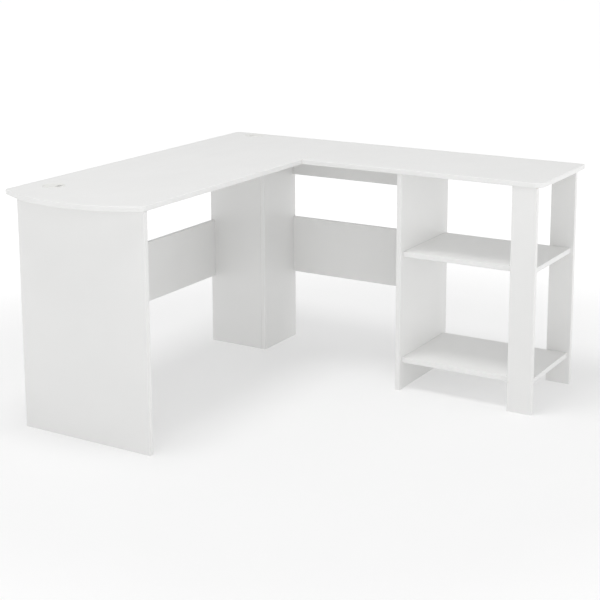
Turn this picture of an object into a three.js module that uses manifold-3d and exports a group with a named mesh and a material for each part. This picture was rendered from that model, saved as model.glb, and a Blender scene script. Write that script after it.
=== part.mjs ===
// Corner desk in flat-pack white melamine board, in millimetres, +Z up.
// A deep main desk with a bowed end and a shallower return meet at a square corner post,
// and the return ends in an open shelf unit on two narrow leg boards.
// The exported group stands on Z = 0 with its box centred on X = 0 and Y = 0.
// Inside it, the corner group has its origin on the floor below the wall corner of the tops:
// X runs along the return and -Y runs along the main desk.

import * as THREE from 'three';
import { mergeVertices } from 'three/addons/utils/BufferGeometryUtils.js';
import Module from 'manifold-3d';

const wasm = await Module();
wasm.setup();

// Overall sizes
const deskHeight = 720;
const returnLength = 1320;
const mainLength = 1290;
const mainDepth = 500;
const returnDepth = 378;

// Boards
const board = 16;
const topBoard = 16;
const bowRise = 70;
const frontShoulderRadius = 18;
const backShoulderRadius = 6;
const backCornerRadius = 12;
const returnCornerRadius = 30;

// Frame under the tops
const mainBackInset = 40;
const returnBackInset = 30;
const endInset = 3;
const returnFrontInset = 3;
const cornerPanelWidth = 207;
const modestyBottom = 241;
const modestyHeight = 200;
const railHeight = 110;

// Open shelf unit at the end of the return
const shelfUnitWidth = 463;
const legInset = 15;
const legWidth = 80;
const shelfEndRecess = 10;
const lowerShelfTop = 105;
const upperShelfTop = 453;

// Cable grommets in the main top
const grommetHoleRadius = 30;
const endGrommetFromEnd = 175;
const endGrommetRailGap = 6;
const cornerGrommetX = 100;
const cornerGrommetFromBack = 45;
const sleeveWall = 1.6;
const sleeveLength = 18;
const flangeOverlap = 4;
const flangeHeight = 1.5;
const flangeBevel = 0.8;
const capThickness = 4;
const capLedge = 2.4;
const ledgeThickness = 2;
const capSlotWidth = 20;
const capSlotDepth = 15;
const capSlotCorner = 3;

// Cam fittings: a threaded bolt with a flange and a round head, held by a turning cam
const boltThreadRadius = 2.9;
const boltThreadLength = 11;
const boltFlangeRadius = 4;
const boltFlangeThickness = 1.2;
const boltShaftRadius = 2.4;
const boltHeadRadius = 3.2;
const boltHeadLength = 4;
const camDistance = 24;
const camRadius = 7.4;
const camFloor = 0.8;
const camSlotClearance = 0.5;
const camRecessLength = 7;
const camRecessWidth = 1.4;
const camRecessDepth = 2;

// One-piece connecting screws with a hexagon socket
const screwHeadRadius = 4.8;
const screwHeadHeight = 2.6;
const screwShankRadius = 3.4;
const screwReach = 34;
const socketRadius = 2.3;
const socketDepth = 2;
const shelfScrewInset = 50;

// Joining plate under the seam of the two tops
const plateLength = 84;
const plateWidth = 20;
const plateThickness = 2;
const plateHolePitch = 20;
const plateSeamGap = 28;
const woodScrewRadius = 1.8;
const woodScrewReach = 12;
const woodScrewHeadRadius = 3.6;
const woodScrewHeadHeight = 1.6;

// Working clearances: what stays open where two boards meet, and round what sits in a bore.
// Cutters pass a face by the cut margin.
const buttGap = 0.1;
const boreClearance = 0.2;
const capClearance = 0.3;
const cutMargin = 1;
const roundSides = 16;
const grommetSides = 32;

const X = new THREE.Vector3(1, 0, 0);
const Y = new THREE.Vector3(0, 1, 0);
const Z = new THREE.Vector3(0, 0, 1);
const left = X.clone().negate();
const front = Y.clone().negate();
const down = Z.clone().negate();

// Materials
const melamine = () => new THREE.MeshStandardMaterial({ color: 0xeeeeec, roughness: 0.45, metalness: 0 });
const plastic = () => new THREE.MeshStandardMaterial({ color: 0xe9e9e6, roughness: 0.4, metalness: 0 });
const dieCastZinc = () => new THREE.MeshStandardMaterial({ color: 0xa9abac, roughness: 0.42, metalness: 1 });
const platedSteel = () => new THREE.MeshStandardMaterial({ color: 0xc3c6c9, roughness: 0.3, metalness: 1 });

// Heights and lines that the boards share
const underTop = deskHeight - topBoard;
const straightEnd = -(mainLength - bowRise);
const endPanelOuter = straightEnd + endInset;
const endPanelInner = endPanelOuter + board;
const mainBack = mainBackInset;
const returnBack = -returnBackInset;
const returnFront = -returnDepth + returnFrontInset;
const cornerOuterX = mainBack + cornerPanelWidth + board;
const cornerInnerX = cornerOuterX - board;
const cornerFrontY = returnBack - cornerPanelWidth;
const cornerInnerY = cornerFrontY + board;
const legOuterX = returnLength - legInset;
const legInnerX = legOuterX - legWidth;
const dividerX = legOuterX - shelfUnitWidth;
const dividerInnerX = dividerX + board;
const frontLegBack = returnFront + board;
const rearLegFront = returnBack - board;
const uprightTop = underTop - buttGap;
const shelfEndX = legOuterX - shelfEndRecess;

// A closed mesh with shared vertices, ready for joins and cuts
function toSolid(geometry) {
  const bare = geometry.clone();
  bare.deleteAttribute('normal');
  bare.deleteAttribute('uv');
  const merged = mergeVertices(bare);
  return new wasm.Manifold(new wasm.Mesh({
    numProp: 3,
    vertProperties: new Float32Array(merged.attributes.position.array),
    triVerts: new Uint32Array(merged.index.array),
  }));
}

function toGeometry(solid) {
  const { vertProperties, triVerts } = solid.getMesh();
  const geometry = new THREE.BufferGeometry();
  geometry.setAttribute('position', new THREE.BufferAttribute(vertProperties, 3));
  geometry.setIndex(new THREE.BufferAttribute(triVerts, 1));
  geometry.computeVertexNormals();
  return geometry;
}

function part(name, geometry, material, position) {
  const mesh = new THREE.Mesh(geometry, material);
  mesh.name = name;
  mesh.position.copy(position);
  return mesh;
}

// A shape turned about Z from [radius, height] points listed upwards along the outside
function turned(profile, sides = roundSides) {
  const points = profile.map(([radius, height]) => new THREE.Vector2(radius, height));
  return new THREE.LatheGeometry(points, sides).rotateX(Math.PI / 2);
}

// A round cutter that starts at a point and runs along a direction
function drill(radius, start, direction, depth, sides = roundSides) {
  const geometry = new THREE.CylinderGeometry(radius, radius, depth, sides);
  geometry.rotateX(Math.PI / 2).translate(0, 0, depth / 2);
  geometry.applyQuaternion(new THREE.Quaternion().setFromUnitVectors(Z, direction));
  return geometry.translate(start.x, start.y, start.z);
}

const at = (x, y, z) => new THREE.Vector3(x, y, z);
const move = (point, direction, distance) => point.clone().addScaledVector(direction, distance);

// Every board is kept by name with the place of its low corner, and gathers its bores
const boards = new Map();

function addBoard(name, low, high) {
  const size = high.clone().sub(low);
  const geometry = new THREE.BoxGeometry(size.x, size.y, size.z);
  geometry.translate(size.x / 2, size.y / 2, size.z / 2);
  boards.set(name, { geometry, low, bores: [] });
}

function addTop(name, shape) {
  const options = { depth: topBoard, bevelEnabled: false, curveSegments: 12 };
  const geometry = new THREE.ExtrudeGeometry(shape, options);
  boards.set(name, { geometry, low: at(0, 0, underTop), bores: [] });
}

function bore(name, radius, start, direction, depth) {
  boards.get(name).bores.push(drill(radius, start, direction, depth));
}

function boardMesh(name) {
  const { geometry, low, bores } = boards.get(name);
  let solid = toSolid(geometry);
  for (const cutter of bores) {
    solid = solid.subtract(toSolid(cutter.translate(-low.x, -low.y, -low.z)));
  }
  return part(name, toGeometry(solid), melamine(), low);
}

// Tops

function mainTopShape() {
  const bowRadius = (mainDepth ** 2 / 4 + bowRise ** 2) / (2 * bowRise);
  const bowY = -mainLength + bowRadius;
  const middle = mainDepth / 2;
  const shoulderY = (radius) => bowY - Math.sqrt((bowRadius - radius) ** 2 - (middle - radius) ** 2);
  const backY = shoulderY(backShoulderRadius);
  const frontY = shoulderY(frontShoulderRadius);
  const backAngle = Math.atan2(backY - bowY, backShoulderRadius - middle) + 2 * Math.PI;
  const frontAngle = Math.atan2(frontY - bowY, middle - frontShoulderRadius) + 2 * Math.PI;
  const shape = new THREE.Shape();
  shape.moveTo(0, -backCornerRadius);
  shape.lineTo(0, backY);
  shape.absarc(backShoulderRadius, backY, backShoulderRadius, Math.PI, backAngle, false);
  shape.absarc(middle, bowY, bowRadius, backAngle, frontAngle, false);
  shape.absarc(mainDepth - frontShoulderRadius, frontY, frontShoulderRadius,
    frontAngle, 2 * Math.PI, false);
  shape.lineTo(mainDepth, 0);
  shape.lineTo(backCornerRadius, 0);
  shape.absarc(backCornerRadius, -backCornerRadius, backCornerRadius, Math.PI / 2, Math.PI, false);
  return shape;
}

function returnTopShape() {
  const shape = new THREE.Shape();
  const seamX = mainDepth + buttGap;
  shape.moveTo(seamX, -returnDepth);
  shape.lineTo(returnLength - returnCornerRadius, -returnDepth);
  shape.absarc(returnLength - returnCornerRadius, -returnDepth + returnCornerRadius, returnCornerRadius,
    -Math.PI / 2, 0, false);
  shape.lineTo(returnLength, -backCornerRadius);
  shape.absarc(returnLength - backCornerRadius, -backCornerRadius, backCornerRadius, 0, Math.PI / 2, false);
  shape.lineTo(seamX, 0);
  shape.closePath();
  return shape;
}

addTop('main_top', mainTopShape());
addTop('return_top', returnTopShape());

// Upright panels, from the end panel round the corner to the legs
addBoard('end_panel', at(mainBack, endPanelOuter, 0), at(mainDepth, endPanelInner, uprightTop));
addBoard('corner_panel_left', at(mainBack, cornerFrontY, 0),
  at(cornerInnerX - buttGap, cornerInnerY, uprightTop));
addBoard('corner_panel_right', at(cornerInnerX, cornerFrontY, 0), at(cornerOuterX, returnBack, uprightTop));
addBoard('divider_panel', at(dividerX, returnFront, 0), at(dividerInnerX, returnBack, uprightTop));
addBoard('front_leg_board', at(legInnerX, returnFront, 0), at(legOuterX, frontLegBack, uprightTop));
addBoard('rear_leg_board', at(legInnerX, rearLegFront, 0), at(legOuterX, returnBack, uprightTop));

// Modesty panels and rails between the uprights, with their backs in line
for (const [kind, bottom, top] of [
  ['modesty_panel', modestyBottom, modestyBottom + modestyHeight],
  ['back_rail', underTop - railHeight, uprightTop],
]) {
  addBoard(`main_${kind}`, at(mainBack, endPanelInner + buttGap, bottom),
    at(mainBack + board, cornerFrontY - buttGap, top));
  addBoard(`return_${kind}`, at(cornerOuterX + buttGap, rearLegFront, bottom),
    at(dividerX - buttGap, returnBack, top));
}

// Shelves between the divider and the two leg boards
for (const [place, top] of [['lower', lowerShelfTop], ['upper', upperShelfTop]]) {
  addBoard(`${place}_shelf`, at(dividerInnerX + buttGap, frontLegBack + buttGap, top - board),
    at(shelfEndX, rearLegFront - buttGap, top));
}

const hardware = [];

// Cam fitting. The joint point lies on the butt plane, on the middle plane of the cam's board.
// into points from the butt plane into the cam's board, open from there to the face the cam shows in.

function camBoltGeometry() {
  return turned([
    [0, -boltThreadLength],
    [boltThreadRadius, -boltThreadLength],
    [boltThreadRadius, 0],
    [boltFlangeRadius, 0],
    [boltFlangeRadius, boltFlangeThickness],
    [boltShaftRadius, boltFlangeThickness],
    [boltShaftRadius, camDistance - boltHeadLength / 2],
    [boltHeadRadius, camDistance - boltHeadLength / 4],
    [boltHeadRadius, camDistance + boltHeadLength / 4],
    [0, camDistance + boltHeadLength / 2],
  ]);
}

// The bolt's axis runs at half a board's depth, so the cam is as deep as that and its slot need
const camSlotHalf = boltHeadRadius + camSlotClearance;
const camHeight = board / 2 + camSlotHalf + camFloor;

// Cam with its axis on Z, its top face at Z = 0 and the slot for the bolt open towards +X
function camGeometry() {
  const body = new THREE.CylinderGeometry(camRadius, camRadius, camHeight, roundSides);
  body.rotateX(Math.PI / 2).translate(0, 0, -camHeight / 2);
  const slotEnd = boltHeadLength / 2 + camSlotClearance;
  const slotLength = slotEnd + camRadius + cutMargin;
  const slot = new THREE.BoxGeometry(slotLength, 2 * camSlotHalf, 2 * camSlotHalf);
  slot.translate(slotLength / 2 - slotEnd, 0, -board / 2);
  let solid = toSolid(body).subtract(toSolid(slot));
  for (const [length, width] of [[camRecessLength, camRecessWidth], [camRecessWidth, camRecessLength]]) {
    const recess = new THREE.BoxGeometry(length, width, 2 * camRecessDepth);
    solid = solid.subtract(toSolid(recess));
  }
  return toGeometry(solid);
}

function camFitting(name, camBoard, boltBoard, joint, into, open) {
  bore(boltBoard, boltThreadRadius + boreClearance, move(joint, into, cutMargin), into.clone().negate(),
    cutMargin + boltThreadLength + boreClearance);
  bore(camBoard, boltFlangeRadius + boreClearance, move(joint, into, -cutMargin), into,
    cutMargin + camDistance);
  const camCentre = move(joint, into, camDistance);
  const camTop = move(camCentre, open, board / 2);
  bore(camBoard, camRadius + boreClearance, move(camTop, open, cutMargin), open.clone().negate(),
    cutMargin + camHeight);
  const bolt = part(`${name}_bolt`, camBoltGeometry(), platedSteel(), joint);
  bolt.quaternion.setFromUnitVectors(Z, into);
  const cam = part(`${name}_cam`, camGeometry(), dieCastZinc(), camTop);
  const towardsBolt = into.clone().negate();
  const across = open.clone().cross(towardsBolt);
  cam.quaternion.setFromRotationMatrix(new THREE.Matrix4().makeBasis(towardsBolt, across, open));
  hardware.push(bolt, cam);
}

// Connecting screw through an outer board into the end of an inner one, its head flush
function connectingScrew(name, outer, inner, joint, into) {
  const headFace = move(joint, into, -board);
  const blank = turned([
    [0, 0],
    [screwHeadRadius, 0],
    [screwHeadRadius, screwHeadHeight],
    [screwShankRadius, screwHeadHeight],
    [screwShankRadius, board + screwReach - screwShankRadius],
    [0, board + screwReach],
  ]);
  const socket = new THREE.CylinderGeometry(socketRadius, socketRadius, 2 * socketDepth, 6);
  const geometry = toGeometry(toSolid(blank).subtract(toSolid(socket.rotateX(Math.PI / 2))));
  const start = move(headFace, into, -cutMargin);
  bore(outer, screwHeadRadius + boreClearance, start, into, cutMargin + screwHeadHeight);
  bore(outer, screwShankRadius + boreClearance, start, into, board + 2 * cutMargin);
  bore(inner, screwShankRadius + boreClearance, move(joint, into, -cutMargin), into,
    cutMargin + screwReach + boreClearance);
  const screw = part(name, geometry, platedSteel(), headFace);
  screw.quaternion.setFromUnitVectors(Z, into);
  hardware.push(screw);
}

const modestyMiddle = modestyBottom + modestyHeight / 2;
const railMiddle = underTop - railHeight / 2;
const mainBackMiddle = mainBack + board / 2;
const returnBackMiddle = returnBack - board / 2;
const cornerPanelMiddle = cornerFrontY + board / 2;
const legMiddleX = legInnerX + (shelfEndX - legInnerX) / 2;

for (const [kind, boardKind, z] of [
  ['modesty', 'modesty_panel', modestyMiddle],
  ['rail', 'back_rail', railMiddle],
]) {
  const mainBoard = `main_${boardKind}`;
  const returnBoard = `return_${boardKind}`;
  camFitting(`end_${kind}`, mainBoard, 'end_panel', at(mainBackMiddle, endPanelInner, z), Y, left);
  camFitting(`divider_${kind}`, returnBoard, 'divider_panel', at(dividerX, returnBackMiddle, z), left, Y);
  connectingScrew(`main_${kind}_screw`, 'corner_panel_left', mainBoard,
    at(mainBackMiddle, cornerFrontY, z), front);
  connectingScrew(`return_${kind}_screw`, 'corner_panel_right', returnBoard,
    at(cornerOuterX, returnBackMiddle, z), X);
}

// The corner post is held together level with the middles of its lower and upper halves
for (const [place, share] of [['lower', 1 / 4], ['upper', 3 / 4]]) {
  camFitting(`corner_${place}`, 'corner_panel_left', 'corner_panel_right',
    at(cornerInnerX, cornerPanelMiddle, underTop * share), left, Y);
}

for (const [place, top] of [['lower', lowerShelfTop], ['upper', upperShelfTop]]) {
  const shelf = `${place}_shelf`;
  const z = top - board / 2;
  camFitting(`${place}_front`, shelf, 'front_leg_board', at(legMiddleX, frontLegBack, z), Y, down);
  camFitting(`${place}_rear`, shelf, 'rear_leg_board', at(legMiddleX, rearLegFront, z), front, down);
  connectingScrew(`${place}_shelf_front_screw`, 'divider_panel', shelf,
    at(dividerInnerX, frontLegBack + shelfScrewInset, z), X);
  connectingScrew(`${place}_shelf_rear_screw`, 'divider_panel', shelf,
    at(dividerInnerX, rearLegFront - shelfScrewInset, z), X);
}

camFitting('end_top', 'end_panel', 'main_top',
  at((mainBack + mainDepth) / 2, endPanelOuter + board / 2, underTop), down, Y);
camFitting('corner_top', 'corner_panel_left', 'main_top',
  at((mainBack + cornerInnerX) / 2, cornerPanelMiddle, underTop), down, Y);
camFitting('divider_top', 'divider_panel', 'return_top',
  at(dividerX + board / 2, (returnFront + returnBack) / 2, underTop), down, left);
camFitting('leg_top', 'front_leg_board', 'return_top',
  at((legInnerX + legOuterX) / 2, returnFront + board / 2, underTop), down, Y);

// Joining plate across the seam, with two wood screws up into each top
function joiningPlate() {
  const plateY = -returnDepth / 2;
  const plateTop = underTop;
  const body = new THREE.BoxGeometry(plateLength, plateWidth, plateThickness);
  let solid = toSolid(body);
  const offsets = [plateSeamGap / 2, plateSeamGap / 2 + plateHolePitch];
  const sides = [['main', 'main_top', -1], ['return', 'return_top', 1]];
  for (const [side, topName, sign] of sides) {
    offsets.forEach((offset, index) => {
      const hole = drill(woodScrewRadius + boreClearance, at(sign * offset, 0, -plateThickness), Z,
        2 * plateThickness);
      solid = solid.subtract(toSolid(hole));
      const head = at(mainDepth + sign * offset, plateY, plateTop - plateThickness);
      bore(topName, woodScrewRadius + boreClearance, head, Z,
        plateThickness + woodScrewReach + boreClearance);
      const screw = turned([
        [0, -woodScrewHeadHeight],
        [woodScrewHeadRadius * 0.7, -woodScrewHeadHeight],
        [woodScrewHeadRadius, 0],
        [woodScrewRadius, 0],
        [woodScrewRadius, plateThickness + woodScrewReach - woodScrewRadius],
        [0, plateThickness + woodScrewReach],
      ], 12);
      hardware.push(part(`plate_${side}_screw_${index + 1}`, screw, platedSteel(), head));
    });
  }
  const centre = at(mainDepth, plateY, plateTop - plateThickness / 2);
  hardware.push(part('joining_plate', toGeometry(solid), platedSteel(), centre));
}

joiningPlate();

// Grommets: a flanged sleeve in the top and a cap with a cable slot that turns in it

const sleeveRadius = grommetHoleRadius - boreClearance;
const sleeveInner = sleeveRadius - sleeveWall;
const capRadius = sleeveInner - capClearance;
const flangeRadius = grommetHoleRadius + flangeOverlap;
const capBottom = flangeHeight - capThickness;

function sleeveGeometry() {
  return turned([
    [sleeveInner, -sleeveLength],
    [sleeveRadius, -sleeveLength],
    [sleeveRadius, 0],
    [flangeRadius, 0],
    [flangeRadius, flangeHeight - flangeBevel],
    [flangeRadius - flangeBevel, flangeHeight],
    [sleeveInner, flangeHeight],
    [sleeveInner, capBottom],
    [sleeveInner - capLedge, capBottom],
    [sleeveInner - capLedge, capBottom - ledgeThickness],
    [sleeveInner, capBottom - ledgeThickness],
    [sleeveInner, -sleeveLength],
  ], grommetSides);
}

// A disc with a round-cornered cable slot from its rim, open towards +X
function capGeometry() {
  const half = capSlotWidth / 2;
  const slotBack = capRadius - capSlotDepth;
  const rimAngle = Math.asin(half / capRadius);
  const shape = new THREE.Shape();
  shape.absarc(0, 0, capRadius, rimAngle, 2 * Math.PI - rimAngle, false);
  shape.lineTo(slotBack + capSlotCorner, -half);
  shape.absarc(slotBack + capSlotCorner, -half + capSlotCorner, capSlotCorner,
    1.5 * Math.PI, Math.PI, true);
  shape.lineTo(slotBack, half - capSlotCorner);
  shape.absarc(slotBack + capSlotCorner, half - capSlotCorner, capSlotCorner, Math.PI, Math.PI / 2, true);
  shape.closePath();
  const options = { depth: capThickness, bevelEnabled: false, curveSegments: grommetSides / 2 };
  return new THREE.ExtrudeGeometry(shape, options);
}

function grommet(name, x, y, slotTurn) {
  boards.get('main_top').bores.push(
    drill(grommetHoleRadius, at(x, y, deskHeight + cutMargin), down, topBoard + 2 * cutMargin, grommetSides));
  const fitting = new THREE.Group();
  fitting.position.set(x, y, deskHeight);
  fitting.add(part(`${name}_sleeve`, sleeveGeometry(), plastic(), at(0, 0, 0)));
  const cap = part(`${name}_cap`, capGeometry(), plastic(), at(0, 0, capBottom));
  cap.rotation.z = slotTurn;
  fitting.add(cap);
  return fitting;
}

const endGrommetX = mainBack + board + endGrommetRailGap + grommetHoleRadius;
const endFitting = grommet('end_grommet', endGrommetX, -mainLength + endGrommetFromEnd, 0);
const cornerFitting = grommet('corner_grommet', cornerGrommetX, -cornerGrommetFromBack, -Math.PI / 2);

const corner = new THREE.Group();
corner.position.set(-returnLength / 2, mainLength / 2, 0);
for (const name of boards.keys()) {
  corner.add(boardMesh(name));
}
corner.add(...hardware, endFitting, cornerFitting);

const desk = new THREE.Group();
desk.add(corner);

export default desk;
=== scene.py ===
"""A white corner desk: two tops on a frame of 16 mm boards, held by cam fittings and screws.

Every piece takes its size and place from the CAD node that it stands for.
"""

import math
from contextlib import contextmanager

import bmesh
import bpy
from mathutils import Matrix, Vector


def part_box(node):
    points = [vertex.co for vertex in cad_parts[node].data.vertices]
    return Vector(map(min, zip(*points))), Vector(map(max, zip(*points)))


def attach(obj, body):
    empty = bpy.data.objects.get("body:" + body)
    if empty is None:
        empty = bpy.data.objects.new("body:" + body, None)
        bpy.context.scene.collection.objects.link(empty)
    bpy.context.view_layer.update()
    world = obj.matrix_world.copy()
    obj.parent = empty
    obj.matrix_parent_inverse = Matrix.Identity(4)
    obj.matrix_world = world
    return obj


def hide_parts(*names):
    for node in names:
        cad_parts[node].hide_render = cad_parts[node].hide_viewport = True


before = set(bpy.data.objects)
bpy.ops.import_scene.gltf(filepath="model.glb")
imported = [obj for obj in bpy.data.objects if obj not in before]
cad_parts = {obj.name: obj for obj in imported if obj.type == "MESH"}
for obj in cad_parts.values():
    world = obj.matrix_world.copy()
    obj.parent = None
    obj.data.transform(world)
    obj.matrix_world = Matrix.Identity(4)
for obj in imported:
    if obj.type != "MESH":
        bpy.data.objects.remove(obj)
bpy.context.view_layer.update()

MM = 0.001
X = Vector((1, 0, 0))
Y = Vector((0, 1, 0))
Z = Vector((0, 0, 1))
AXES = (X, Y, Z)

# Edges of the boards. A share is how much of the full radius an edge is rounded by,
# and the reach is how close to the seam between the tops a point is on it.
TOP_EDGE_RADIUS = 2.5 * MM
BAND_EDGE_RADIUS = 1.5 * MM
SAWN_EDGE_SHARE = 0.2
SEAM_EDGE_SHARE = 0.1
SEAM_REACH = 0.5 * MM

# Material slots of a board after the first, which is its faces'
BAND_SLOT, CORE_SLOT = 1, 2

# Outline of the tops
BOW_RISE = 70 * MM
FRONT_SHOULDER_RADIUS = 18 * MM
BACK_SHOULDER_RADIUS = 6 * MM
BACK_CORNER_RADIUS = 12 * MM
RETURN_CORNER_RADIUS = 30 * MM

# Bores: the room round what sits in them, and how far a cutter passes a face
BORE_CLEARANCE = 0.2 * MM
CUT_MARGIN = 1 * MM

# Cams, and how far a cam's axis is from the joint and its bolt's axis from its face
CAM_DISTANCE = 24 * MM
CAM_BOLT_DEPTH = 8 * MM
CAM_RADIUS = 7.4 * MM
CAM_RIM_WIDTH = 0.9 * MM
CAM_DISH_DEPTH = 0.5 * MM
CAM_EDGE_RADIUS = 0.25 * MM
CAM_SLOT_BACK = 2.5 * MM
CAM_SLOT_CLEARANCE = 0.5 * MM
CAM_CROSS_REACH = 3.5 * MM
CAM_CROSS_HALF_WIDTH = 0.7 * MM
CAM_CROSS_DEPTH = 2 * MM
CAM_ARROW_RADIUS = 1.1 * MM
CAM_ARROW_THICKNESS = 0.5 * MM
CAM_ARROW_PLACE = Vector((5.1, 0, -0.3)) * MM
CAM_ARROW_EDGE = 0.08 * MM

# Cam bolts
BOLT_THREAD_LENGTH = 11 * MM
BOLT_THREAD_RADIUS = 2.9 * MM
BOLT_THREAD_ROOT = 2.1 * MM
BOLT_THREAD_PITCH = 1.9 * MM
BOLT_TIP_RADIUS = 1.5 * MM
BOLT_FLANGE_RADIUS = 4 * MM
BOLT_FLANGE_HEIGHT = 1.2 * MM
BOLT_FLANGE_CHAMFER = 0.3 * MM
BOLT_SHAFT_RADIUS = 2.4 * MM
BOLT_NECK_RADIUS = 1.9 * MM
BOLT_HEAD_RADIUS = 3.2 * MM
BOLT_HEAD_LENGTH = 4 * MM

# Connecting screws
SCREW_HEAD_RADIUS = 4.8 * MM
SCREW_HEAD_HEIGHT = 2.6 * MM
SCREW_SHANK_RADIUS = 3.4 * MM
SCREW_SHANK_END = 15.5 * MM
SCREW_THREAD_START = 16 * MM
SCREW_THREAD_ROOT = 2.5 * MM
SCREW_THREAD_PITCH = 2.8 * MM
SCREW_TIP_RADIUS = 1.6 * MM
SCREW_INNER_BORE_START = 10 * MM
SOCKET_RADIUS = 2.3 * MM
SOCKET_DEPTH = 2 * MM

# Joining plate and its wood screws
PLATE_CORNER_RADIUS = 3.5 * MM
PLATE_EDGE_SHARE = 0.08
WOOD_SCREW_RADIUS = 1.8 * MM
WOOD_SCREW_ROOT = 1.2 * MM
WOOD_SCREW_PITCH = 1.3 * MM
WOOD_SCREW_HEAD_RADIUS = 3.6 * MM
WOOD_SCREW_HEAD_HEIGHT = 1.6 * MM
WOOD_SCREW_CROSS_REACH = 1.9 * MM
WOOD_SCREW_CROSS_HALF_WIDTH = 0.35 * MM
WOOD_SCREW_CROSS_BOTTOM = 3 * MM
WOOD_SCREW_CROSS_TOP = 0.6 * MM
WOOD_SCREW_CROSS_TAPER = 0.6

# Grommets
GROMMET_HOLE_RADIUS = 30 * MM
SLEEVE_WALL = 1.6 * MM
FLANGE_OVERLAP = 4 * MM
FLANGE_HEIGHT = 1.5 * MM
CAP_CLEARANCE = 0.3 * MM
CAP_SEAT_GAP = 0.05 * MM
CAP_THICKNESS = 4 * MM
CAP_LEDGE = 2.4 * MM
LEDGE_THICKNESS = 2 * MM
CAP_SLOT_WIDTH = 20 * MM
CAP_SLOT_DEPTH = 15 * MM
CAP_SLOT_CORNER = 3 * MM
CAP_RIM_WIDTH = 1.6 * MM
CAP_DISH_WIDTH = 0.6 * MM
CAP_DISH_DEPTH = 0.5 * MM
CAP_EDGE_RADIUS = 0.35 * MM

# Narrow sides of each board that carry an edge band.
# The others are sawn, and butt on a board or stand on the floor.
BANDED_SIDES = {
    "end_panel": ("-x", "+x", "+z"),
    "corner_panel_left": ("-x", "+x"),
    "corner_panel_right": ("-y", "+y"),
    "main_modesty_panel": ("-z", "+z"),
    "main_back_rail": ("-z",),
    "return_modesty_panel": ("-z", "+z"),
    "return_back_rail": ("-z",),
    "divider_panel": ("-y", "+y"),
    "front_leg_board": ("-x", "+x"),
    "rear_leg_board": ("-x", "+x"),
    "lower_shelf": ("+x", "-y", "+y"),
    "upper_shelf": ("+x", "-y", "+y"),
}

# Cam fitting: the board with the cam, then the board that the bolt is screwed into
CAM_FITTINGS = {
    "end_modesty": ("main_modesty_panel", "end_panel"),
    "end_rail": ("main_back_rail", "end_panel"),
    "divider_modesty": ("return_modesty_panel", "divider_panel"),
    "divider_rail": ("return_back_rail", "divider_panel"),
    "corner_lower": ("corner_panel_left", "corner_panel_right"),
    "corner_upper": ("corner_panel_left", "corner_panel_right"),
    "lower_front": ("lower_shelf", "front_leg_board"),
    "lower_rear": ("lower_shelf", "rear_leg_board"),
    "upper_front": ("upper_shelf", "front_leg_board"),
    "upper_rear": ("upper_shelf", "rear_leg_board"),
    "end_top": ("end_panel", "main_top"),
    "corner_top": ("corner_panel_left", "main_top"),
    "divider_top": ("divider_panel", "return_top"),
    "leg_top": ("front_leg_board", "return_top"),
}

# Connecting screw: the board under its head, the board that it holds, and the way it points
CONNECTING_SCREWS = {
    "main_modesty_screw": ("corner_panel_left", "main_modesty_panel", -Y),
    "main_rail_screw": ("corner_panel_left", "main_back_rail", -Y),
    "return_modesty_screw": ("corner_panel_right", "return_modesty_panel", X),
    "return_rail_screw": ("corner_panel_right", "return_back_rail", X),
    "lower_shelf_front_screw": ("divider_panel", "lower_shelf", X),
    "lower_shelf_rear_screw": ("divider_panel", "lower_shelf", X),
    "upper_shelf_front_screw": ("divider_panel", "upper_shelf", X),
    "upper_shelf_rear_screw": ("divider_panel", "upper_shelf", X),
}

# Wood screw through the joining plate: the top that it holds
PLATE_SCREWS = {
    "plate_main_screw_1": "main_top",
    "plate_main_screw_2": "main_top",
    "plate_return_screw_1": "return_top",
    "plate_return_screw_2": "return_top",
}


# Materials

# Sockets of the Mix node's colours, which share their names with its numbers
MIX_A, MIX_B, MIX_RESULT = 6, 7, 2


def colour(hex_code):
    """An sRGB hex colour as linear RGBA."""
    parts = [int(hex_code[i:i + 2], 16) / 255 for i in (0, 2, 4)]
    linear = [c / 12.92 if c <= 0.04045 else ((c + 0.055) / 1.055) ** 2.4 for c in parts]
    return (*linear, 1)


def per(millimetres):
    """Texture scale that repeats once in this many millimetres."""
    return 1000 / millimetres


def node(tree, kind, inputs=None, **settings):
    """Adds a node, gives it its settings, and sets or links its inputs."""
    made = tree.nodes.new(kind)
    for name, value in settings.items():
        setattr(made, name, value)
    for name, value in (inputs or {}).items():
        if isinstance(value, bpy.types.NodeSocket):
            tree.links.new(value, made.inputs[name])
        else:
            made.inputs[name].default_value = value
    return made


def new_material(name):
    """An empty material with its node tree."""
    made = bpy.data.materials.new(name)
    made.use_nodes = True
    made.node_tree.nodes.clear()
    return made, made.node_tree


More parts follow.
